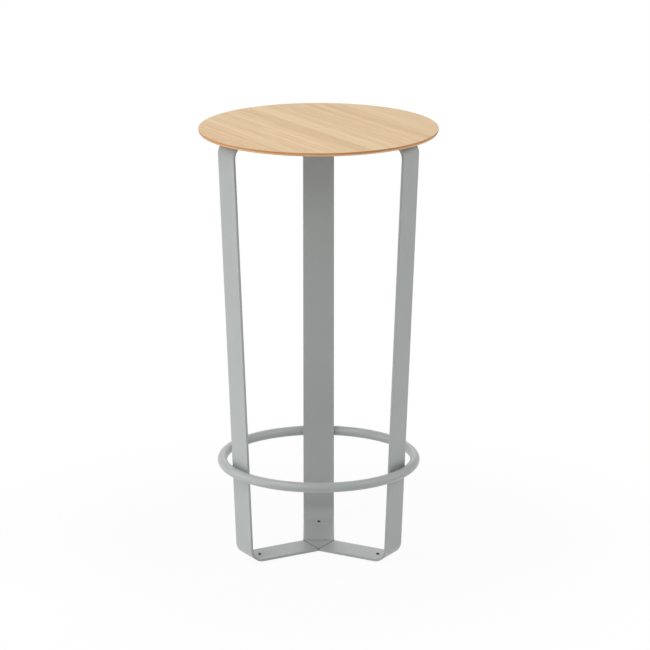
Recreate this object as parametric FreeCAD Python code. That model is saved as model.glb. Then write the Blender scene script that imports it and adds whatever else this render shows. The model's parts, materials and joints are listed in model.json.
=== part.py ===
import FreeCAD, Part
import math
import os
from FreeCAD import Vector

# Bar-height standing meeting table: a thin round oak-veneered top on three bent flat-bar legs,
# welded to a triangular plate at the foot and at the top, with a tubular foot ring outside them.
#
# Millimetres, +Z up. The origin is on the floor, under the centre of the top. The rear leg stands
# towards +Y, and the left and right legs 120 degrees to each side of it. Each leg is drawn as if
# it were the rear one, in the plane x = 0, and is then turned about the table's axis.

# ---- Driving dimensions ---------------------------------------------------------------------

# Whole table
table_height = 1105.0
top_diameter = 600.0
leg_names = ("rear", "left", "right")

# Round top, from the oak surface down
face_veneer_thickness = 0.5
core_thickness = 8.0
backing_veneer_thickness = 0.5
edging_width = 12.0
rim_upright = 5.0
rim_bevel_inset = 2.5
rim_arris_width = 0.3

# Flat bar of the legs: 80 x 6, bent twice
bar_width = 80.0
bar_thickness = 6.0
bar_edge_radius = 0.8
bend_inner_radius = 30.0
foot_corner_reach = 219.0
rim_overhang = 33.8
seam_chamfer_width = 1.1

# Foot ring: 25 x 2 tube
ring_height = 240.0
ring_tube_diameter = 25.0
ring_tube_wall = 2.0
ring_fit_up_gap = 1.0

# Weld beads
ring_weld_radius = 3.0
ring_weld_length = 12.0
ring_weld_root = 2.0
ring_weld_end_margin = 1.5
plate_weld_radius = 2.2
plate_weld_depth = 0.9
plate_weld_end_margin = 9.0

# Top fixing: M5 countersunk screws up through the arms into threaded inserts
screw_diameter = 5.0
screw_head_diameter = 9.2
screw_engagement = 5.0
screw_hole_clearance = 0.25
screw_key_size = 3.0
screw_key_depth = 1.8
screw_bend_setback = 24.0
screw_side_setback = 15.0
screw_end_setback = 50.0
insert_diameter = 7.0
insert_length = 6.0
insert_fit_gap = 0.05
insert_pocket_relief = 0.5

# Levelling glides: an M8 stud, standing a little above the foot and turned there with a hex key,
# captive in a nylon pad
glide_bend_setback = 10.3
stud_diameter = 8.0
stud_running_gap = 0.05
stud_end_height = 2.0
stud_end_chamfer_width = 0.6
stud_flange_diameter = 13.0
stud_flange_thickness = 1.5
stud_key_size = 4.0
stud_key_depth = 4.5
pad_diameter = 30.0
pad_edge_chamfer_width = 0.8
pad_floor_thickness = 0.9
pad_lip_thickness = 0.9
pad_lip_gap = 0.3
flange_side_gap = 0.3
flange_top_gap = 0.2
sole_thickness = 1.5
sole_inset = 1.0

# ---- Sizes worked out from them -------------------------------------------------------------

tiny = 1e-3

top_radius = top_diameter / 2
core_radius = top_radius - edging_width
face_bottom = table_height - face_veneer_thickness
core_bottom = face_bottom - core_thickness
top_underside = core_bottom - backing_veneer_thickness

pocket_depth = stud_flange_thickness + flange_top_gap
pad_floor_top = sole_thickness + pad_floor_thickness
pad_pocket_top = pad_floor_top + pocket_depth
foot_bottom = pad_pocket_top + pad_lip_thickness
foot_top = foot_bottom + bar_thickness

arm_top = top_underside
arm_bottom = arm_top - bar_thickness
bend_outer_radius = bend_inner_radius + bar_thickness
shoulder_reach = top_radius - rim_overhang
lean = math.atan2(shoulder_reach - foot_corner_reach, arm_top - foot_bottom)

leg_spacing_angle = math.degrees(2 * math.pi / len(leg_names))
leg_angles = {name: index * leg_spacing_angle for index, name in enumerate(leg_names)}
centre_corner_angle = math.pi / len(leg_names)
centre_apothem = bar_width / 2 / math.tan(centre_corner_angle)
centre_corner_reach = bar_width / 2 / math.sin(centre_corner_angle)

foot_flat_end = foot_corner_reach - bend_outer_radius * math.tan((math.pi / 2 - lean) / 2)
arm_flat_end = shoulder_reach - bend_outer_radius * math.tan((math.pi / 2 + lean) / 2)
glide_reach = foot_flat_end - glide_bend_setback


def leg_reach(height, depth=0.0):
    """Distance from the axis to the upright's outer face at a height, or to depth inside it."""
    outer_face = foot_corner_reach + (height - foot_bottom) * math.tan(lean)
    return outer_face - depth / math.cos(lean)


ring_tube_radius = ring_tube_diameter / 2
ring_bar_face = leg_reach(ring_height)
edge_arc_centre = math.hypot(ring_bar_face - bar_edge_radius, bar_width / 2 - bar_edge_radius)
ring_bar_corner = edge_arc_centre + bar_edge_radius
ring_radius = ring_bar_corner + (ring_tube_radius + ring_fit_up_gap) / math.cos(lean)


# ---- Helpers --------------------------------------------------------------------------------

def cylinder(radius, bottom, height, reach=0.0, across=0.0):
    """An upright cylinder at reach from the axis along +Y and across from it along +X."""
    return Part.makeCylinder(radius, height, Vector(across, reach, bottom))


def hexagonal_socket(key_size, depth, bottom, reach, across):
    """The space of a hexagon socket, key_size across its flats."""
    corner = key_size / 2 / math.cos(math.pi / 6)
    sixths = [math.radians(60 * step) for step in range(7)]
    points = [Vector(across + corner * math.cos(a), reach + corner * math.sin(a), bottom) for a in sixths]
    return Part.Face(Part.makePolygon(points)).extrude(Vector(0, 0, depth))


def revolved(profile):
    """The solid swept by a closed profile of (radius, height) points about the table's axis."""
    points = [Vector(radius, 0, height) for radius, height in profile]
    face = Part.Face(Part.makePolygon(points + points[:1]))
    return face.revolve(Vector(0, 0, 0), Vector(0, 0, 1), 360)


def turned(shape, angle):
    """A copy of the shape, turned about the table's axis by an angle in degrees."""
    copy = shape.copy()
    copy.rotate(Vector(0, 0, 0), Vector(0, 0, 1), angle)
    return copy


def on_each_leg(shapes):
    """Copies of the rear leg's shapes on all the legs."""
    return [turned(shape, angle) for angle in leg_angles.values() for shape in shapes]


def rounded_path(points, radius):
    """Edges through the points, with an arc of the radius at each inner one."""
    edges = []
    start = points[0]
    for before, corner, after in zip(points, points[1:], points[2:]):
        back = (before - corner).normalize()
        onward = (after - corner).normalize()
        half_angle = back.getAngle(onward) / 2
        tangent_length = radius / math.tan(half_angle)
        middle_distance = radius / math.sin(half_angle) - radius
        arc_start = corner + back * tangent_length
        arc_middle = corner + (back + onward).normalize() * middle_distance
        arc_end = corner + onward * tangent_length
        edges.append(Part.LineSegment(start, arc_start).toShape())
        edges.append(Part.Arc(arc_start, arc_middle, arc_end).toShape())
        start = arc_end
    edges.append(Part.LineSegment(start, points[-1]).toShape())
    return edges


# ---- Round top ------------------------------------------------------------------------------

def top_blank():
    """The whole top as machined after gluing up: a softened arris, an upright rim and a bevel."""
    bevel_start = table_height - rim_upright
    return revolved([
        (0, table_height),
        (top_radius - rim_arris_width, table_height),
        (top_radius, table_height - rim_arris_width),
        (top_radius, bevel_start),
        (top_radius - rim_bevel_inset, top_underside),
        (0, top_underside),
    ])


def screw_places():
    """(reach, across) of the top's screws on the rear arm: one near its end, two at its bend."""
    inner_reach = centre_apothem + screw_end_setback
    outer_reach = arm_flat_end - screw_bend_setback
    outer_across = bar_width / 2 - screw_side_setback
    return [(inner_reach, 0.0), (outer_reach, outer_across), (outer_reach, -outer_across)]


def insert_pockets():
    """The holes in the top's underside for the threaded inserts, on all the legs."""
    radius = insert_diameter / 2 + insert_fit_gap
    depth = insert_length + insert_pocket_relief
    return on_each_leg([cylinder(radius, top_underside, depth, *place) for place in screw_places()])


def make_top():
    """The face veneer, core, edging and backing veneer, cut from one blank."""
    blank = top_blank()
    pockets = Part.makeCompound(insert_pockets())
    core_space = cylinder(core_radius, core_bottom, core_thickness)
    face_layer = blank.common(cylinder(top_radius, face_bottom, face_veneer_thickness))
    middle_layer = blank.common(cylinder(top_radius, core_bottom, core_thickness))
    backing_layer = blank.common(cylinder(top_radius, top_underside, backing_veneer_thickness))
    return {
        "oak_face_veneer": face_layer,
        "tabletop_core": middle_layer.common(core_space).cut(pockets),
        "oak_edging": middle_layer.cut(core_space),
        "backing_veneer": backing_layer.cut(pockets),
    }


# ---- Legs and centre plates -----------------------------------------------------------------

def screw_blank(shank_radius, reach, across):
    """A countersunk screw without its socket: its head flush with the arm's underside."""
    head_radius = screw_head_diameter / 2
    head_height = head_radius - shank_radius
    head = Part.makeCone(head_radius, shank_radius, head_height, Vector(across, reach, arm_bottom))
    shank = cylinder(shank_radius, arm_bottom, bar_thickness + screw_engagement, reach, across)
    return head.fuse(shank).removeSplitter()


def leg_outline():
    """The bent bar seen from its side: a foot, an upright leaning outwards and an arm."""
    def at(reach, height):
        return Vector(-bar_width / 2, reach, height)

    outside = rounded_path([
        at(centre_apothem, foot_bottom),
        at(foot_corner_reach, foot_bottom),
        at(shoulder_reach, arm_top),
        at(centre_apothem, arm_top),
    ], bend_outer_radius)
    inside = rounded_path([
        at(centre_apothem, arm_bottom),
        at(leg_reach(arm_bottom, bar_thickness), arm_bottom),
        at(leg_reach(foot_top, bar_thickness), foot_top),
        at(centre_apothem, foot_top),
    ], bend_inner_radius)
    arm_end = Part.makeLine(at(centre_apothem, arm_top), at(centre_apothem, arm_bottom))
    foot_end = Part.makeLine(at(centre_apothem, foot_top), at(centre_apothem, foot_bottom))
    return Part.Wire(outside + [arm_end] + inside + [foot_end])


def make_rear_leg():
    """One bent bar with rounded edges, chamfered cut ends, a glide hole and countersunk screw holes."""
    bar = Part.Face(leg_outline()).extrude(Vector(bar_width, 0, 0))
    past_the_ends = centre_apothem + tiny
    sides = [e for e in bar.Edges if e.BoundBox.XLength < tiny and e.BoundBox.YMax > past_the_ends]
    bar = bar.makeFillet(bar_edge_radius, sides)
    ends = [e for e in bar.Edges if e.BoundBox.YMax < past_the_ends]
    bar = bar.makeChamfer(seam_chamfer_width, ends)
    glide_hole = cylinder(stud_diameter / 2 + stud_running_gap, foot_bottom, bar_thickness, glide_reach)
    screw_hole_radius = screw_diameter / 2 + screw_hole_clearance
    screw_holes = [screw_blank(screw_hole_radius, *place) for place in screw_places()]
    return bar.cut(Part.makeCompound([glide_hole] + screw_holes))


def make_centre_plate(bottom):
    """The plate that the bars' square ends butt against, one side for each."""
    odd_steps = range(1, 2 * len(leg_names), 2)
    directions = [math.pi / 2 + centre_corner_angle * step for step in odd_steps]
    corners = [Vector(centre_corner_reach * math.cos(a), centre_corner_reach * math.sin(a), bottom)
               for a in directions]
    plate = Part.Face(Part.makePolygon(corners + corners[:1])).extrude(Vector(0, 0, bar_thickness))
    rims = [e for e in plate.Edges if e.BoundBox.ZLength < tiny]
    return plate.makeChamfer(seam_chamfer_width, rims)


# ---- Foot ring and welds --------------------------------------------------------------------

def ring_envelope():
    """The ring's outer surface, filled."""
    return Part.makeTorus(ring_radius, ring_tube_radius, Vector(0, 0, ring_height))


def make_foot_ring():
    """A tube bent to a full circle round the outer corners of the bars."""
    bore = Part.makeTorus(ring_radius, ring_tube_radius - ring_tube_wall, Vector(0, 0, ring_height))
    return ring_envelope().cut(bore)


def bead(radius, start, end):
    """A weld bead between two points, before the metal that it joins is cut from it."""
    along = end - start
    return Part.makeCylinder(radius, along.Length, start, along)


def make_ring_welds(rear_leg):
    """Fillet beads under the ring, at the two corners of each bar."""
    root_run = ring_tube_radius + ring_fit_up_gap - ring_weld_root
    drop = math.sqrt(ring_tube_radius ** 2 - root_run ** 2)
    height = ring_height - drop
    reach = leg_reach(height) + ring_weld_root / 2
    outer_end = bar_width / 2 - ring_weld_end_margin
    inner_end = outer_end - ring_weld_length
    envelope = ring_envelope()
    beads = []
    for side in (-1, 1):
        start = Vector(side * inner_end, reach, height)
        end = Vector(side * outer_end, reach, height)
        beads += bead(ring_weld_radius, start, end).cut([envelope, rear_leg]).Solids
    return Part.makeCompound(on_each_leg(beads))


def make_plate_welds(metal, underside):
    """Beads along the seams between the bars and a centre plate, on its underside."""
    half_length = bar_width / 2 - plate_weld_end_margin
    height = underside + plate_weld_depth
    start = Vector(-half_length, centre_apothem, height)
    end = Vector(half_length, centre_apothem, height)
    below_corner = Vector(-bar_width / 2, centre_apothem - bar_width / 2, underside - plate_weld_radius)
    below = Part.makeBox(bar_width, bar_width, plate_weld_radius + seam_chamfer_width, below_corner)
    beads = bead(plate_weld_radius, start, end).common(below).cut(metal).Solids
    return Part.makeCompound(on_each_leg(beads))


# ---- Screws and inserts ---------------------------------------------------------------------

def make_top_screws():
    """Countersunk screws, one at each place on each arm."""
    screws = []
    for place in screw_places():
        socket = hexagonal_socket(screw_key_size, screw_key_depth, arm_bottom, *place)
        screws.append(screw_blank(screw_diameter / 2, *place).cut(socket))
    return Part.makeCompound(on_each_leg(screws))


def make_threaded_inserts():
    """Threaded inserts flush with the top's underside, one over each screw."""
    inserts = []
    bore_radius = screw_diameter / 2 + insert_fit_gap
    for place in screw_places():
        body = cylinder(insert_diameter / 2, top_underside, insert_length, *place)
        bore = cylinder(bore_radius, top_underside, insert_length, *place)
        inserts.append(body.cut(bore))
    return Part.makeCompound(on_each_leg(inserts))


# ---- Levelling glides, made on the table's axis and then moved out to the foot ----------------

def make_glide_stud():
    """A headless stud with a hexagon socket in its upper end and a flange at its foot."""
    shank_radius = stud_diameter / 2
    flange_radius = stud_flange_diameter / 2
    flange_top = pad_floor_top + stud_flange_thickness
    end = foot_top + stud_end_height
    body = revolved([
        (0, pad_floor_top),
        (flange_radius, pad_floor_top),
        (flange_radius, flange_top),
        (shank_radius, flange_top),
        (shank_radius, end - stud_end_chamfer_width),
        (shank_radius - stud_end_chamfer_width, end),
        (0, end),
    ])
    return body.cut(hexagonal_socket(stud_key_size, stud_key_depth, end - stud_key_depth, 0.0, 0.0))


def make_glide_pad():
    """A nylon cup: its floor carries the stud's flange and its lip holds the flange down."""
    pad_radius = pad_diameter / 2
    pocket_radius = stud_flange_diameter / 2 + flange_side_gap
    lip_radius = stud_diameter / 2 + pad_lip_gap
    return revolved([
        (0, sole_thickness),
        (pad_radius, sole_thickness),
        (pad_radius, foot_bottom - pad_edge_chamfer_width),
        (pad_radius - pad_edge_chamfer_width, foot_bottom),
        (lip_radius, foot_bottom),
        (lip_radius, pad_pocket_top),
        (pocket_radius, pad_pocket_top),
        (pocket_radius, pad_floor_top),
        (0, pad_floor_top),
    ])


def make_glide_sole():
    """The non-marking disc under the pad."""
    return cylinder(pad_diameter / 2 - sole_inset, 0.0, sole_thickness)


def under_foot(shape, angle):
    """A glide's piece, moved out under the foot of the leg at an angle."""
    moved = shape.copy()
    moved.translate(Vector(0, glide_reach, 0))
    return turned(moved, angle)


# ---- The table ------------------------------------------------------------------------------

def make_nodes():
    """Every separate piece by its name."""
    nodes = make_top()
    rear_leg = make_rear_leg()
    base_plate = make_centre_plate(foot_bottom)
    top_plate = make_centre_plate(arm_bottom)
    nodes["base_centre_plate"] = base_plate
    nodes["top_centre_plate"] = top_plate
    nodes["foot_ring"] = make_foot_ring()
    nodes["ring_welds"] = make_ring_welds(rear_leg)
    nodes["base_plate_welds"] = make_plate_welds([base_plate, rear_leg], foot_bottom)
    nodes["top_plate_welds"] = make_plate_welds([top_plate, rear_leg], arm_bottom)
    nodes["top_screws"] = make_top_screws()
    nodes["threaded_inserts"] = make_threaded_inserts()
    stud = make_glide_stud()
    pad = make_glide_pad()
    sole = make_glide_sole()
    for name, angle in leg_angles.items():
        nodes[name + "_leg"] = turned(rear_leg, angle)
        nodes[name + "_glide_stud"] = under_foot(stud, angle)
        nodes[name + "_glide_pad"] = under_foot(pad, angle)
        nodes[name + "_glide_sole"] = under_foot(sole, angle)
    return nodes


os.makedirs("parts", exist_ok=True)
for node, shape in make_nodes().items():
    shape.exportStep("parts/" + node + ".step")
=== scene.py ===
import json
import math

import bmesh
import bpy
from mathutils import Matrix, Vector


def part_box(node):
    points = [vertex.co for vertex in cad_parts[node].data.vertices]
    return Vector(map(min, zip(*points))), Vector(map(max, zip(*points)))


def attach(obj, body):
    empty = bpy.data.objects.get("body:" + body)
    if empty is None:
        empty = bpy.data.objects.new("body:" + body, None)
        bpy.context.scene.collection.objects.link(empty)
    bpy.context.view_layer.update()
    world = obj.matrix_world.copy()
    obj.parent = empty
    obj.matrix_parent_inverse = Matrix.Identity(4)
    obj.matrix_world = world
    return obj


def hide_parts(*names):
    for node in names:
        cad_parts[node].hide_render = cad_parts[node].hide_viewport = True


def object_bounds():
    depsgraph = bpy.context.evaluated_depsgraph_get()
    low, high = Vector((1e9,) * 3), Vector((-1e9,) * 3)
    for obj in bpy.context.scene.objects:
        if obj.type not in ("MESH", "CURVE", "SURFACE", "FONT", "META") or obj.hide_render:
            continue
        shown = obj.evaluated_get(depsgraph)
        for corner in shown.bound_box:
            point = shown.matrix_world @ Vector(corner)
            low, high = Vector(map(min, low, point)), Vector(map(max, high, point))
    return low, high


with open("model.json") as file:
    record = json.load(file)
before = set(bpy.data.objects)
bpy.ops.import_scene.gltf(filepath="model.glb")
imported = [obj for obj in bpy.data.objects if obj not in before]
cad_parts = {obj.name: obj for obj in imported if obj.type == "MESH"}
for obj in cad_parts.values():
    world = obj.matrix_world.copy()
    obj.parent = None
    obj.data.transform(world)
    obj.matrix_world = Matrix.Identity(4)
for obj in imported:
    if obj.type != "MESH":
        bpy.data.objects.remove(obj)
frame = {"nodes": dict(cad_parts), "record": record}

# Looks of the bar-height meeting table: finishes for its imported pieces, finer glides and weld beads,
# and the studio. Metres, +Z up, the floor at z = 0 under the middle of the round top. Colours are
# linear RGB. A noise's scale is how many of its spots come to a metre.

solid_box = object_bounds()
mm = 0.001
upwards = Vector((0, 0, 1))

table_height = solid_box[1].z
leg_turns = {"rear": 0.0, "left": math.radians(120), "right": math.radians(240)}
bar_width = 80 * mm
seam_reach = bar_width / 2 / math.tan(math.pi / len(leg_turns))    # from the axis to a plate's sides


# ---- Building a finish from nodes -----------------------------------------------------------

usual_noise = (0.3, 0.7)                                  # where most of a soft noise's values lie
gloss_spread = (-0.06, 0.08)                              # how far roughness goes from its usual value
first_colour, second_colour, blended_colour = 6, 7, 2     # the colour sockets of a Mix node


def rgb(red, green, blue):
    """An opaque colour."""
    return (red, green, blue, 1.0)


def add_node(tree, kind, inputs, **settings):
    """A node with its settings, whose inputs are numbers, colours or other nodes' outputs."""
    made = tree.nodes.new(kind)
    for key, value in settings.items():
        setattr(made, key, value)
    for key, value in inputs.items():
        if isinstance(value, bpy.types.NodeSocket):
            tree.links.new(value, made.inputs[key])
        else:
            made.inputs[key].default_value = value
    return made


class Finish:
    """A named material, with short words for the nodes that give a surface its colour and relief."""

    def __init__(self, name, roughness, metallic=0.0, specular=0.5):
        self.material = bpy.data.materials.new(name)
        self.material.use_nodes = True
        self.tree = self.material.node_tree
        self.shader = self.tree.nodes["Principled BSDF"]
        self.shader.inputs["Roughness"].default_value = roughness
        self.shader.inputs["Metallic"].default_value = metallic
        self.shader.inputs["Specular IOR Level"].default_value = specular

    def node(self, kind, inputs, **settings):
        """One of this finish's nodes."""
        return add_node(self.tree, kind, inputs, **settings)

    def reckon(self, operation, *values):
        """One arithmetic step."""
        inputs = dict(enumerate(values))
        return self.node("ShaderNodeMath", inputs, operation=operation).outputs[0]

    def add_up(self, values, shares):
        """The sum of named values, each times its share."""
        total = 0.0
        for name, share in shares.items():
            total = self.reckon("ADD", total, self.reckon("MULTIPLY", values[name], share))
        return total

    def place(self, turn=0.0, stretch=(1.0, 1.0, 1.0)):
        """The point on the piece, turned about the table's axis, then scaled in each direction."""
        here = self.node("ShaderNodeTexCoord", {}).outputs["Object"]
        turned = self.node("ShaderNodeMapping", {"Vector": here, "Rotation": (0, 0, turn)})
        inputs = {"Vector": turned.outputs[0], "Scale": stretch}
        return self.node("ShaderNodeMapping", inputs).outputs[0]

    def apart(self, vector):
        """The X, Y and Z of a vector."""
        return self.node("ShaderNodeSeparateXYZ", {"Vector": vector}).outputs

    def together(self, x, y, z):
        """A vector from its X, Y and Z."""
        return self.node("ShaderNodeCombineXYZ", {"X": x, "Y": y, "Z": z}).outputs[0]

    def noise(self, vector, scale, detail=2.0, roughness=0.5):
        """Soft random values about a half."""
        inputs = {"Vector": vector, "Scale": scale, "Detail": detail, "Roughness": roughness}
        return self.node("ShaderNodeTexNoise", inputs).outputs["Fac"]

    def streaks(self, grain, length, width, detail):
        """Noise drawn out along the grain, with a figure of its own in each leaf of wood."""
        along, across, leaf = grain
        run = self.reckon("DIVIDE", along, length)
        row = self.reckon("DIVIDE", across, width)
        return self.noise(self.together(run, row, leaf), scale=1.0, detail=detail)

    def ramp(self, value, low, high, start=0.0, end=1.0):
        """A smooth step from start to end as the value goes from low to high."""
        inputs = {"Value": value, "From Min": low, "From Max": high, "To Min": start, "To Max": end}
        return self.node("ShaderNodeMapRange", inputs, interpolation_type="SMOOTHSTEP").outputs[0]

    def fade(self, value, low, high):
        """A smooth step from 1 down to 0 as the value goes from low to high."""
        return self.ramp(value, low, high, 1.0, 0.0)

    def drift(self, noise, start, end):
        """A value that goes to and fro between start and end as a soft noise does."""
        return self.ramp(noise, *usual_noise, start, end)

    def blend(self, share, first, second):
        """The first colour turning into the second."""
        inputs = {"Factor": share, first_colour: first, second_colour: second}
        return self.node("ShaderNodeMix", inputs, data_type="RGBA").outputs[blended_colour]

    def tint(self, under, where, strength, colour):
        """A colour partly covered by another one, with its full strength where the value is 1."""
        return self.blend(self.reckon("MULTIPLY", where, strength), under, rgb(*colour))

    def tone(self, colour, factor):
        """A colour made lighter or darker by a factor."""
        inputs = {0: colour, "Scale": factor}
        return self.node("ShaderNodeVectorMath", inputs, operation="SCALE").outputs[0]

    def reach_along_the_leg(self):
        """Distance out from the table's axis, measured along the nearest leg."""
        x, y, _ = self.apart(self.place())
        squares = self.reckon("ADD", self.reckon("MULTIPLY", x, x), self.reckon("MULTIPLY", y, y))
        reach = self.reckon("SQRT", squares)
        half_step = math.pi / len(leg_turns)
        off_leg = self.reckon("WRAP", self.reckon("ARCTAN2", x, y), half_step, -half_step)
        return self.reckon("MULTIPLY", reach, self.reckon("COSINE", off_leg))

    def colour(self, colour):
        """Lets the colour vary over the surface."""
        self.tree.links.new(colour, self.shader.inputs["Base Color"])

    def roughness(self, value):
        """Lets the roughness vary over the surface."""
        self.tree.links.new(value, self.shader.inputs["Roughness"])

    def uneven_gloss(self, noise, roughness):
        """Roughness that goes a little under and over its usual value."""
        under, over = gloss_spread
        self.roughness(self.drift(noise, roughness + under, roughness + over))

    def relief(self, height, depth):
        """Raises the surface by the height, a value from 0 to 1, times a depth in metres."""
        bump = self.node("ShaderNodeBump", {"Height": height, "Strength": 1.0, "Distance": depth})
        self.tree.links.new(bump.outputs[0], self.shader.inputs["Normal"])


# ---- Oak veneer -----------------------------------------------------------------------------

grain_turn = math.atan2(0.854, 0.52)     # the grain runs 0.52 to the right for 0.854 to the front
grain_wander = 7 * mm
grain_wander_scale = 2.2
leaf_width = 150 * mm
leaf_joint = 17 * mm                     # the middle joint's distance from the table's axis
leaf_joint_fade = (0.05 * mm, 0.12 * mm)
leaf_shift = 3.7                         # how much further along the log the next leaf is cut
veneer_streaks = {
    "broad": {"length": 2.2, "width": 30 * mm, "detail": 1.0},
    "middle": {"length": 0.55, "width": 7 * mm, "detail": 2.0},
    "fine": {"length": 0.09, "width": 1.6 * mm, "detail": 3.0},
    "rosy": {"length": 0.9, "width": 11 * mm, "detail": 1.0},
    "flecks": {"length": 7 * mm, "width": 1.8 * mm, "detail": 1.0},
    "dashes": {"length": 11 * mm, "width": 0.45 * mm, "detail": 1.0},
}
veneer_figure_shares = {"broad": 0.32, "middle": 0.24, "fine": 0.44}
veneer_figure_noise = (0.34, 0.66)       # dark wood up to the first value, light from the second on
rosy_noise = (0.4, 0.62)
rosy_strength = 0.4
pale_stripe_width = 40 * mm
pale_stripe_soft_edge = 9 * mm           # half the width over which its far side fades in
pale_stripe_sharp_edge = (-1.5 * mm, 0.5 * mm)    # its near side ends at the joint
pale_stripe_strength = 0.5
fleck_noise = (0.66, 0.74)
fleck_strength = 0.25
pore_noise = (0.6, 0.68)
pore_free_noise = (0.4, 0.62)            # middle streaks past these have no pores
pore_strength = 0.5
pore_depth = 0.05 * mm
lacquer_roughness = 0.48
pore_roughness = 0.62
face_veneer_colours = {
    "light": (0.872, 0.65, 0.375),
    "dark": (0.63, 0.4, 0.17),
    "rosy": (0.78, 0.485, 0.235),
    "pale": (0.89, 0.67, 0.38),
    "pore": (0.36, 0.2, 0.085),
}
backing_veneer_colours = {
    "light": (0.64, 0.47, 0.28),
    "dark": (0.49, 0.33, 0.155),
    "rosy": (0.58, 0.37, 0.19),
    "pale": (0.66, 0.5, 0.3),
    "pore": (0.28, 0.16, 0.07),
}


def veneer(name, light, dark, rosy, pale, pore):
    """Straight-grained oak veneer laid in leaves, under a matt clear lacquer."""
    oak = Finish(name, roughness=0.5, specular=0.3)
    along, straight_across, _ = oak.apart(oak.place(turn=grain_turn))
    wander = oak.noise(oak.together(along, straight_across, 0.0), scale=grain_wander_scale)
    across = oak.reckon("ADD", straight_across, oak.reckon("MULTIPLY", wander, grain_wander))
    from_joint = oak.reckon("SUBTRACT", straight_across, leaf_joint)
    leaf = oak.reckon("FLOOR", oak.reckon("DIVIDE", from_joint, leaf_width))
    leaf_along = oak.reckon("ADD", along, oak.reckon("MULTIPLY", leaf, leaf_shift))
    grain = (leaf_along, across, leaf)
    streaks = {kind: oak.streaks(grain, **size) for kind, size in veneer_streaks.items()}

    figure = oak.add_up(streaks, veneer_figure_shares)
    wood = oak.blend(oak.ramp(figure, *veneer_figure_noise), rgb(*dark), rgb(*light))
    wood = oak.tint(wood, oak.ramp(streaks["rosy"], *rosy_noise), rosy_strength, rosy)

    far_side = (-pale_stripe_width - pale_stripe_soft_edge, -pale_stripe_width + pale_stripe_soft_edge)
    stripe_start = oak.ramp(from_joint, *far_side)
    stripe_end = oak.fade(from_joint, *pale_stripe_sharp_edge)
    stripe = oak.reckon("MULTIPLY", stripe_start, stripe_end)
    wood = oak.tint(wood, stripe, pale_stripe_strength, pale)
    wood = oak.tint(wood, oak.ramp(streaks["flecks"], *fleck_noise), fleck_strength, pale)

    dashes = oak.ramp(streaks["dashes"], *pore_noise)
    pores = oak.reckon("MULTIPLY", dashes, oak.fade(streaks["middle"], *pore_free_noise))
    to_joint = oak.reckon("PINGPONG", from_joint, leaf_width / 2)
    marks = oak.reckon("MAXIMUM", pores, oak.fade(to_joint, *leaf_joint_fade))
    oak.colour(oak.tint(wood, marks, pore_strength, pore))
    oak.roughness(oak.ramp(pores, 0.0, 1.0, lacquer_roughness, pore_roughness))
    oak.relief(oak.reckon("SUBTRACT", 1.0, pores), pore_depth)
    return oak.material


# ---- Solid oak edging and core board --------------------------------------------------------

rim_upright = 5 * mm
edge_lengths = 4
edge_first_joint = math.radians(50)
edge_joint_fade = (0.0002, 0.0006)       # radians round the rim
edge_streaks = {                         # lengths in radians round the rim, widths up its height
    "broad": {"length": 0.5, "width": 2.2 * mm, "detail": 2.0},
    "fine": {"length": 0.09, "width": 0.5 * mm, "detail": 2.0},
    "pores": {"length": 0.03, "width": 0.25 * mm, "detail": 1.0},
}
edge_figure_shares = {"broad": 0.6, "fine": 0.4}
edge_figure_noise = (0.36, 0.64)
edge_pore_depth = 0.04 * mm
edge_pore_colour = (0.27, 0.12, 0.045)
rim_colours = (rgb(0.56, 0.225, 0.085), rgb(0.76, 0.345, 0.145))
# painted light: the downward-facing bevel gets a lighter oak than the upright rim, for the light it
# takes from the floor
bevel_lit_from_below_colours = (rgb(0.88, 0.55, 0.27), rgb(0.95, 0.69, 0.39))
bevel_soft_edge = 0.2 * mm
board_colours = (rgb(0.32, 0.2, 0.1), rgb(0.6, 0.44, 0.27))
board_chip_squeeze = (1.0, 1.0, 3.0)     # the chips lie flat
board_chip_noise = (0.35, 0.65)
board_chip_depth = 0.1 * mm


def oak_edge(rim_bottom):
    """Solid oak bent round the rim in a few lengths: the bevel under the upright rim carries painted
    light from below, so it is lighter.
    """
    oak = Finish("oak_edge_lacquered", roughness=0.52, specular=0.3)
    x, y, z = oak.apart(oak.place())
    turn = oak.reckon("ADD", oak.reckon("ARCTAN2", y, x), edge_first_joint)
    length_turn = 2 * math.pi / edge_lengths
    length = oak.reckon("FLOOR", oak.reckon("DIVIDE", turn, length_turn))
    grain = (turn, z, length)
    streaks = {kind: oak.streaks(grain, **size) for kind, size in edge_streaks.items()}

    light = oak.ramp(oak.add_up(streaks, edge_figure_shares), *edge_figure_noise)
    rim = oak.blend(light, *rim_colours)
    # Painted light from below on the bevel, blended in under the upright rim.
    lit_bevel = oak.blend(light, *bevel_lit_from_below_colours)
    on_lit_bevel = oak.fade(z, rim_bottom - bevel_soft_edge, rim_bottom + bevel_soft_edge)
    wood = oak.blend(on_lit_bevel, rim, lit_bevel)

    pores = oak.ramp(streaks["pores"], *pore_noise)
    to_joint = oak.reckon("PINGPONG", turn, length_turn / 2)
    marks = oak.reckon("MAXIMUM", pores, oak.fade(to_joint, *edge_joint_fade))
    oak.colour(oak.tint(wood, marks, pore_strength, edge_pore_colour))
    oak.relief(oak.reckon("SUBTRACT", 1.0, marks), edge_pore_depth)
    return oak.material


def core_board():
    """Pressed board: pale flat chips of every length, bare."""
    board = Finish("core_board_bare", roughness=0.85, specular=0.2)
    here = board.place(stretch=board_chip_squeeze)
    chips = board.noise(here, scale=700.0, detail=3.0, roughness=0.7)
    board.colour(board.blend(board.ramp(chips, *board_chip_noise), *board_colours))
    board.relief(chips, board_chip_depth)
    return board.material


# ---- Metals, coatings and mouldings ---------------------------------------------------------

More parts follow.
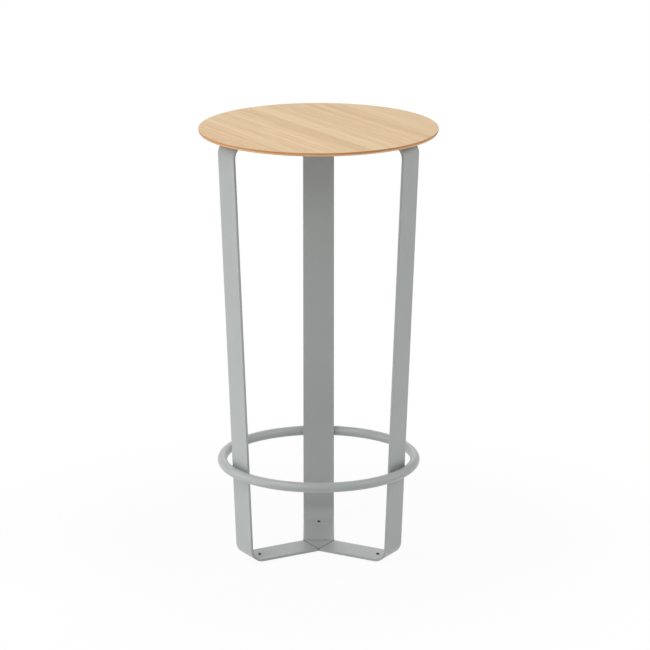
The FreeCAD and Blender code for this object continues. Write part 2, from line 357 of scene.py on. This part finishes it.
coat_colour = (0.44, 0.465, 0.46)
coat_patch_tones = (0.985, 1.012)        # thinner and thicker patches
coat_tooth_tones = (-0.012, 0.012)       # added to the patch's tone
coat_roughness = (0.27, 0.35)
coat_skin_shares = {"waves": 0.7, "tooth": 0.3}
coat_skin_depth = 0.025 * mm
seam_chamfer = 1.1 * mm
# Painted shade in the seam grooves, where the coat is also thin: the next two values say how far from a
# seam it reaches and how dark it gets.
seam_shade_fade = (0.7 * seam_chamfer, 1.8 * seam_chamfer)
seam_shade_tone = 0.25
turning_mark_squeeze = (1.0, 1.0, 14.0)  # the marks run round, close above each other
turning_mark_depth = 0.01 * mm
mould_flow_tones = (0.93, 1.07)


def powder_coat(name, shade_in_the_seams=True):
    """Baked grey coating: a satin skin with low waves and fine tooth; down in the seams the coat is thin
    and carries painted shade.
    """
    coat = Finish(name, roughness=0.3, specular=0.5)
    here = coat.place()
    waves = coat.noise(here, scale=330.0, detail=1.0)
    tooth = coat.noise(here, scale=2100.0, detail=2.0, roughness=0.6)
    patches = coat.noise(here, scale=9.0, detail=2.0)
    patch_tone = coat.drift(patches, *coat_patch_tones)
    shade = coat.reckon("ADD", patch_tone, coat.drift(tooth, *coat_tooth_tones))
    if shade_in_the_seams:
        # Painted shade: the colour is darkened down in the seam grooves between the plates and the bars.
        past_seam = coat.reckon("SUBTRACT", coat.reach_along_the_leg(), seam_reach)
        from_seam = coat.reckon("ABSOLUTE", past_seam)
        shade = coat.reckon("MULTIPLY", shade, coat.ramp(from_seam, *seam_shade_fade, seam_shade_tone, 1.0))
    coat.colour(coat.tone(coat_colour, shade))
    coat.roughness(coat.drift(tooth, *coat_roughness))
    coat.relief(coat.add_up({"waves": waves, "tooth": tooth}, coat_skin_shares), coat_skin_depth)
    return coat.material


def bare_metal(name, colour, roughness, mottle):
    """Plated or oxidised metal: faintly mottled, with fine turning marks up each piece's height."""
    metal = Finish(name, roughness=roughness, metallic=1.0)
    clouds = metal.noise(metal.place(), scale=900.0, detail=3.0, roughness=0.6)
    marks = metal.noise(metal.place(stretch=turning_mark_squeeze), scale=600.0, detail=2.0)
    metal.colour(metal.tone(colour, metal.drift(clouds, 1 - mottle, 1 + mottle)))
    metal.uneven_gloss(marks, roughness)
    metal.relief(marks, turning_mark_depth)
    return metal.material


def moulded(name, colour, roughness, grain_depth):
    """Moulded plastic or rubber: one colour through, with the fine spark-eroded grain of its mould."""
    skin = Finish(name, roughness=roughness, specular=0.4)
    here = skin.place()
    grain = skin.noise(here, scale=3200.0, detail=2.0, roughness=0.6)
    flow = skin.noise(here, scale=120.0, detail=1.0)
    skin.colour(skin.tone(colour, skin.drift(flow, *mould_flow_tones)))
    skin.uneven_gloss(grain, roughness)
    skin.relief(grain, grain_depth)
    return skin.material


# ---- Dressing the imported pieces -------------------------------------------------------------

finishes = {
    "oak_veneer": veneer("oak_face_veneer_lacquered", **face_veneer_colours),
    "backing_veneer": veneer("oak_backing_veneer_lacquered", **backing_veneer_colours),
    "oak_edge": oak_edge(table_height - rim_upright),
    "core_board": core_board(),
    "grey_powder_coat": powder_coat("grey_powder_coat_satin"),
    "zinc_plated_steel": bare_metal(
        "zinc_plated_steel_bright", colour=(0.62, 0.63, 0.66), roughness=0.32, mottle=0.06),
    "brass_insert": bare_metal(
        "brass_insert_turned", colour=(0.68, 0.47, 0.2), roughness=0.3, mottle=0.04),
    "blackened_steel": bare_metal(
        "blackened_steel_oiled", colour=(0.045, 0.046, 0.05), roughness=0.4, mottle=0.15),
    "black_nylon": moulded(
        "black_nylon_moulded", colour=(0.018, 0.018, 0.02), roughness=0.5, grain_depth=0.02 * mm),
    "grey_rubber": moulded(
        "grey_rubber_moulded", colour=(0.1, 0.1, 0.1), roughness=0.7, grain_depth=0.03 * mm),
}
weld_coat = powder_coat("grey_powder_coat_over_weld", shade_in_the_seams=False)


def dress(piece, material):
    """Gives a piece one finish all over."""
    piece.data.materials.clear()
    piece.data.materials.append(material)


for part in frame["record"]["subparts"]:
    dress(frame["nodes"][part["node"]], finishes[part["material_slot"]])


# ---- Finer pieces in the place of packed ones -----------------------------------------------

merge_distance = 0.001 * mm
cut_tolerance = 0.0001 * mm


def packed_shape(node):
    """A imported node's shape as one closed skin, to be worked on."""
    shape = bmesh.new()
    shape.from_mesh(frame["nodes"][node].data)
    bmesh.ops.remove_doubles(shape, verts=shape.verts, dist=merge_distance)
    return shape


def slice_across(shape, start, end, step, direction):
    """Cuts lines across the shape at even steps along a direction, from start to end."""
    for count in range(int((end - start) / step) + 1):
        whole = shape.verts[:] + shape.edges[:] + shape.faces[:]
        level = direction * (start + count * step)
        bmesh.ops.bisect_plane(shape, geom=whole, dist=cut_tolerance, plane_co=level,
                               plane_no=direction)


def add_piece(name, shape, node, body, material):
    """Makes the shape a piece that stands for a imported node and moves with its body."""
    mesh = bpy.data.meshes.new(name)
    shape.to_mesh(mesh)
    shape.free()
    piece = bpy.data.objects.new(name, mesh)
    bpy.context.collection.objects.link(piece)
    dress(piece, material)
    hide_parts(node)
    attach(piece, body)


# ---- Levelling glides -----------------------------------------------------------------------

shank_radius = 4 * mm
shank_search = (shank_radius - 0.3 * mm, shank_radius + 0.1 * mm)    # past its socket, inside its flange
thread_pitch = 1.25 * mm
thread_depth = 0.6 * mm
thread_from_low_end = 2.4 * mm
thread_from_top = 0.6 * mm
slices_per_turn = 8
sole_radius = 14 * mm
sole_thickness = 1.5 * mm
sole_edge = 0.5 * mm                     # how far its rounded edge goes in and up
sole_edge_middle = 0.15 * mm
sole_sides = 64
tread_rings = (11.8 * mm, 9.6 * mm, 7.4 * mm, 5.2 * mm)
groove_width = 1.2 * mm
groove_slope = 0.3 * mm
groove_depth = 0.5 * mm


def threaded_stud(leg):
    """The glide's stud with its thread cut: the shank is sliced across and sunk along a helix."""
    node = leg + "_glide_stud"
    low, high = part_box(node)
    axis = (low + high) / 2
    thread_bottom = low.z + thread_from_low_end
    thread_top = high.z - thread_from_top
    nearest, farthest = shank_search
    shape = packed_shape(node)
    slice_across(shape, thread_bottom, thread_top, thread_pitch / slices_per_turn, upwards)
    for corner in shape.verts:
        out = Vector((corner.co.x - axis.x, corner.co.y - axis.y))
        on_the_shank = nearest < out.length < farthest
        if on_the_shank and thread_bottom < corner.co.z <= thread_top:
            turns = corner.co.z / thread_pitch - math.atan2(out.y, out.x) / (2 * math.pi)
            flank = abs(2 * (turns % 1) - 1)
            run_in = min(1.0, (corner.co.z - thread_bottom) / thread_pitch)
            sunk = out * (1 - thread_depth * flank * run_in / out.length)
            corner.co.x = axis.x + sunk.x
            corner.co.y = axis.y + sunk.y
    add_piece(leg + "_glide_threaded_stud", shape, node, leg + "_glide_screw",
              finishes["blackened_steel"])


def ribbed_sole(leg):
    """The non-marking sole with a rounded edge and rings of tread under it."""
    node = leg + "_glide_sole"
    low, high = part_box(node)
    axis = Vector(((low.x + high.x) / 2, (low.y + high.y) / 2, 0))
    profile = [
        (0, sole_thickness),
        (sole_radius, sole_thickness),
        (sole_radius, sole_edge),
        (sole_radius - sole_edge_middle, sole_edge_middle),
        (sole_radius - sole_edge, 0),
    ]
    for ring in tread_rings:
        profile += [
            (ring, 0),
            (ring - groove_slope, groove_depth),
            (ring - groove_width + groove_slope, groove_depth),
            (ring - groove_width, 0),
        ]
    profile.append((0, 0))
    shape = bmesh.new()
    corners = [shape.verts.new(axis + Vector((reach, 0, height))) for reach, height in profile]
    edges = [shape.edges.new(pair) for pair in zip(corners, corners[1:])]
    bmesh.ops.spin(shape, geom=corners + edges, cent=axis, axis=upwards, angle=2 * math.pi,
                   steps=sole_sides, use_merge=True)
    bmesh.ops.remove_doubles(shape, verts=shape.verts, dist=merge_distance)
    bmesh.ops.recalc_face_normals(shape, faces=shape.faces)
    add_piece(leg + "_glide_ribbed_sole", shape, node, leg + "_glide_foot",
              finishes["grey_rubber"])


for leg in leg_turns:
    threaded_stud(leg)
    ribbed_sole(leg)


# ---- Weld beads -----------------------------------------------------------------------------

ring_bead_reach = 229.95 * mm
ring_bead_height = 235.1 * mm
ring_bead_radius = 3 * mm
foot_underside = 5 * mm
arm_underside = 1090 * mm
plate_bead_depth = 0.9 * mm              # from the plate's underside up to the beads' middle line
plate_bead_radius = 2.2 * mm
ripple_pitch = 1.2 * mm
ripple_depth = 0.25 * mm
ripple_lean = 0.3                        # how far a crest leans along the bead for its height
slices_per_ripple = 4
bead_skin = 0.9                          # corners past this share of the radius are on the skin


def rippled_welds(node, reach, height, radius):
    """Weld beads with their ripples: each bead is sliced along its run and sunk between crests."""
    outward = {leg: Vector((-math.sin(turn), math.cos(turn), 0)) for leg, turn in leg_turns.items()}
    whole = bmesh.new()
    for leg, out in outward.items():
        beads = packed_shape(node)
        others = []
        for face in beads.faces:
            middle = face.calc_center_median()
            if max(outward, key=lambda name: middle.dot(outward[name])) != leg:
                others.append(face)
        bmesh.ops.delete(beads, geom=others, context="FACES")
        side = out.cross(upwards)
        slice_across(beads, -bar_width / 2, bar_width / 2, ripple_pitch / slices_per_ripple, side)
        for corner in beads.verts:
            run = corner.co.dot(side)
            arm = corner.co - (out * reach + side * run + upwards * height)
            if arm.length > bead_skin * radius:
                crest = math.cos(2 * math.pi * (run - ripple_lean * arm.z) / ripple_pitch)
                corner.co -= arm.normalized() * ripple_depth * (0.5 - 0.5 * crest)
        done = bpy.data.meshes.new(node)
        beads.to_mesh(done)
        beads.free()
        whole.from_mesh(done)
        bpy.data.meshes.remove(done)
    add_piece(node.replace("welds", "rippled_welds"), whole, node, "frame",
              weld_coat)


rippled_welds("ring_welds", ring_bead_reach, ring_bead_height, ring_bead_radius)
for plate, underside in {"base_plate": foot_underside, "top_plate": arm_underside}.items():
    rippled_welds(plate + "_welds", seam_reach, underside + plate_bead_depth, plate_bead_radius)


# ---- Studio: floor, surroundings and softboxes ----------------------------------------------

full_white = 1.0
white = rgb(1.0, 1.0, 1.0)
floor_radius = 16.0
floor_sides = 128
floor_paint = rgb(0.84, 0.84, 0.84)
floor_white_near_table = 0.94            # the rest shows the paint, and the shadow on it
floor_shadow_ends = (0.4, 1.2)           # metres from the table's axis
surround_level = 0.25
lamp_aim = Vector((0.0, 0.0, 0.55))
softboxes = {
    "overhead_softbox": {"stand": (0.0, 0.0, 4.0), "side": 3.0, "power": 16.0},
    "high_left_softbox": {"stand": (-2.2, -1.2, 3.9), "side": 2.0, "power": 47.0},
    "high_right_softbox": {"stand": (3.0, -1.6, 3.2), "side": 1.0, "power": 23.0},
    "front_left_softbox": {"stand": (-2.6, -4.4, 2.9), "side": 1.5, "power": 47.0},
    "left_softbox": {"stand": (-4.2, 0.2, 1.6), "side": 2.0, "power": 30.0},
    "right_softbox": {"stand": (4.2, 0.2, 1.6), "side": 2.0, "power": 19.5},
    "back_softbox": {"stand": (0.0, 4.0, 2.5), "side": 2.5, "power": 12.0},
    "low_left_softbox": {"stand": (-0.85, -0.5, 0.1), "side": 0.35, "power": 1.0},
    "low_right_softbox": {"stand": (0.85, -0.5, 0.1), "side": 0.35, "power": 0.3},
}


def rays_that_see_white(tree):
    """1 for rays from the camera, from reflections and through clear things, 0 for all others."""
    rays = add_node(tree, "ShaderNodeLightPath", {}).outputs
    seen = rays["Is Camera Ray"]
    for ray in ("Is Glossy Ray", "Is Transmission Ray"):
        either = add_node(tree, "ShaderNodeMath", {0: seen, 1: rays[ray]}, operation="MAXIMUM")
        seen = either.outputs[0]
    return seen


def show(tree, share, usual, shown, output):
    """Ends the tree in a mix of two shaders, by the share of the one that is shown."""
    inputs = {0: share, 1: usual.outputs[0], 2: shown.outputs[0]}
    mix = add_node(tree, "ShaderNodeMixShader", inputs)
    tree.links.new(mix.outputs[0], tree.nodes[output].inputs["Surface"])


def floor_finish():
    """Pale paint that is seen as white, with a light shadow left near the table."""
    material = bpy.data.materials.new("studio_floor_pale")
    material.use_nodes = True
    tree = material.node_tree
    tree.nodes.remove(tree.nodes["Principled BSDF"])
    paint = add_node(tree, "ShaderNodeBsdfDiffuse", {"Color": floor_paint})
    glow = add_node(tree, "ShaderNodeEmission", {"Strength": full_white})
    here = add_node(tree, "ShaderNodeTexCoord", {}).outputs["Object"]
    from_table = add_node(tree, "ShaderNodeVectorMath", {0: here}, operation="LENGTH")
    near, far = floor_shadow_ends
    steps = {"Value": from_table.outputs["Value"], "From Min": near, "From Max": far,
             "To Min": floor_white_near_table, "To Max": full_white}
    whiteness = add_node(tree, "ShaderNodeMapRange", steps, interpolation_type="SMOOTHSTEP")
    factors = {0: rays_that_see_white(tree), 1: whiteness.outputs[0]}
    share = add_node(tree, "ShaderNodeMath", factors, operation="MULTIPLY")
    show(tree, share.outputs[0], paint, glow, "Material Output")
    return material


def pale_floor():
    """A plain round floor, wide enough to fill every view."""
    bpy.ops.mesh.primitive_circle_add(vertices=floor_sides, radius=floor_radius, fill_type="NGON")
    floor = bpy.context.object
    floor.name = "studio_floor"
    floor.data.materials.append(floor_finish())


def surroundings():
    """Even light from all round, which the camera, reflections and clear things see as white."""
    world = bpy.data.worlds.new("studio_surroundings")
    bpy.context.scene.world = world
    world.use_nodes = True
    tree = world.node_tree
    even = tree.nodes["Background"]
    even.inputs["Color"].default_value = white
    even.inputs["Strength"].default_value = surround_level
    glow = add_node(tree, "ShaderNodeBackground", {"Color": white, "Strength": full_white})
    show(tree, rays_that_see_white(tree), even, glow, "World Output")


def softbox(name, stand, side, power):
    """A square lamp on its stand, turned to the table."""
    data = bpy.data.lights.new(name, "AREA")
    data.size = side
    data.energy = power
    lamp = bpy.data.objects.new(name, data)
    lamp.location = stand
    lamp.rotation_euler = (lamp_aim - lamp.location).to_track_quat("-Z", "Y").to_euler()
    lamp.visible_camera = False
    bpy.context.collection.objects.link(lamp)


pale_floor()
surroundings()
for name, lamp in softboxes.items():
    softbox(name, **lamp)


# ---- Camera ---------------------------------------------------------------------------------

camera_stand = Vector((0.0, -8.6311, 2.9467))
camera_pitch_down = math.radians(15.252)
camera_turn_right = math.radians(0.1074)
lens_mm = 195.51
sensor_mm = 36.0

camera_data = bpy.data.cameras.new("studio_camera")
camera_data.lens = lens_mm
camera_data.sensor_width = sensor_mm
camera = bpy.data.objects.new("studio_camera", camera_data)
camera.location = camera_stand
camera.rotation_euler = (math.pi / 2 - camera_pitch_down, 0.0, -camera_turn_right)
bpy.context.collection.objects.link(camera)
bpy.context.scene.camera = camera
bpy.context.scene.view_settings.view_transform = "Standard"
